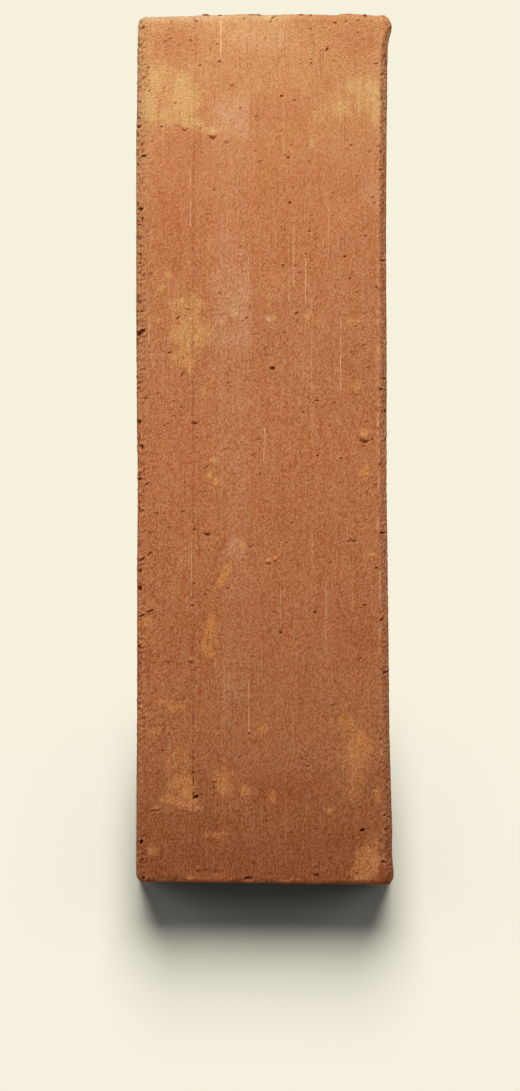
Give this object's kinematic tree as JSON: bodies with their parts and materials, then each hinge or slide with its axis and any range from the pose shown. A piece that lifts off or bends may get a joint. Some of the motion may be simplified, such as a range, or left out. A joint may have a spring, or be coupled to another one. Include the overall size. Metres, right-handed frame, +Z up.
{
  "type": "terracotta tile",
  "caption": "Long narrow plank tile of fired terracotta, extruded and wire-cut, with a flat back for bedding on a floor or wall and a worn, drag-lined face.",
  "frame": {"origin": "centre of the flat back that the tile lies on", "axes": "+X across the width towards the wall where the cutting wire came out, +Y along the length, +Z up out of the face"},
  "size_m": [0.0712, 0.2408, 0.02],
  "materials": {
    "terracotta": "unglazed, matte, sandy fired clay with ochre flashes"
  },
  "bodies": {
    "root": {"tile": "terracotta"}
  },
  "joints": []
}
